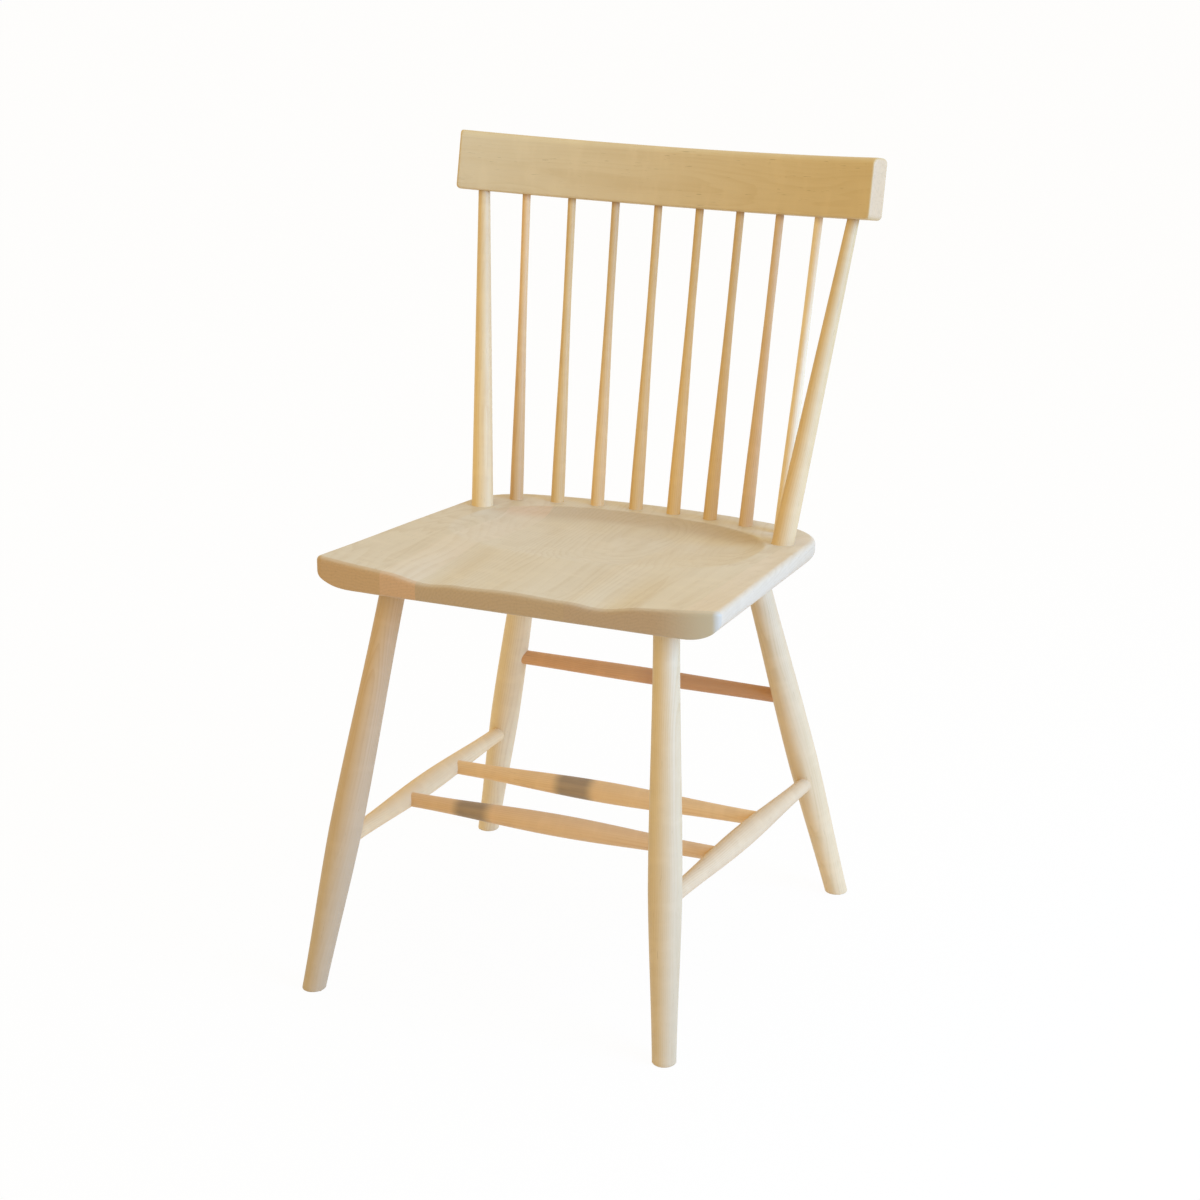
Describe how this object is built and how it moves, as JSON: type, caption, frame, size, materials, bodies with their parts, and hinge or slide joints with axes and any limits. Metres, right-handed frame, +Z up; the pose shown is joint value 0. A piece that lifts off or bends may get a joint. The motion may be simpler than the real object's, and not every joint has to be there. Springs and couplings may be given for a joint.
{
  "type": "spindle-back dining chair",
  "caption": "Spindle-back wooden dining chair with a saddled plank seat, splayed turned legs, round stretchers and a bent crest rail.",
  "frame": {"origin": "on the floor, at the middle of the chair's width and depth", "axes": "+Z up, +X to the right seen from the front, the chair faces -Y"},
  "size_m": [0.5024, 0.5424, 0.8419],
  "materials": {
    "seat_maple": "raw maple, sanded smooth, satin",
    "leg_maple": "raw maple, turned and sanded, satin",
    "rear_maple": "warmer brown maple, turned and sanded, satin",
    "back_maple": "raw maple, turned and sanded, satin",
    "crest_maple": "raw maple, bent and sanded, satin"
  },
  "bodies": {
    "root": {"seat_board_far_left": "seat_maple", "seat_board_left": "seat_maple", "seat_board_middle": "seat_maple", "seat_board_right": "seat_maple", "seat_board_far_right": "seat_maple", "leg_front_left": "leg_maple", "leg_front_right": "leg_maple", "leg_back_left": "leg_maple", "leg_back_right": "leg_maple", "side_stretcher_left": "leg_maple", "side_stretcher_right": "leg_maple", "cross_stretcher_front": "leg_maple", "cross_stretcher_rear": "leg_maple", "rear_stretcher": "rear_maple", "post_left": "back_maple", "post_right": "back_maple", "spindle_1": "back_maple", "spindle_2": "back_maple", "spindle_3": "back_maple", "spindle_4": "back_maple", "spindle_5": "back_maple", "spindle_6": "back_maple", "spindle_7": "back_maple", "spindle_8": "back_maple", "crest_rail": "crest_maple"}
  },
  "joints": []
}
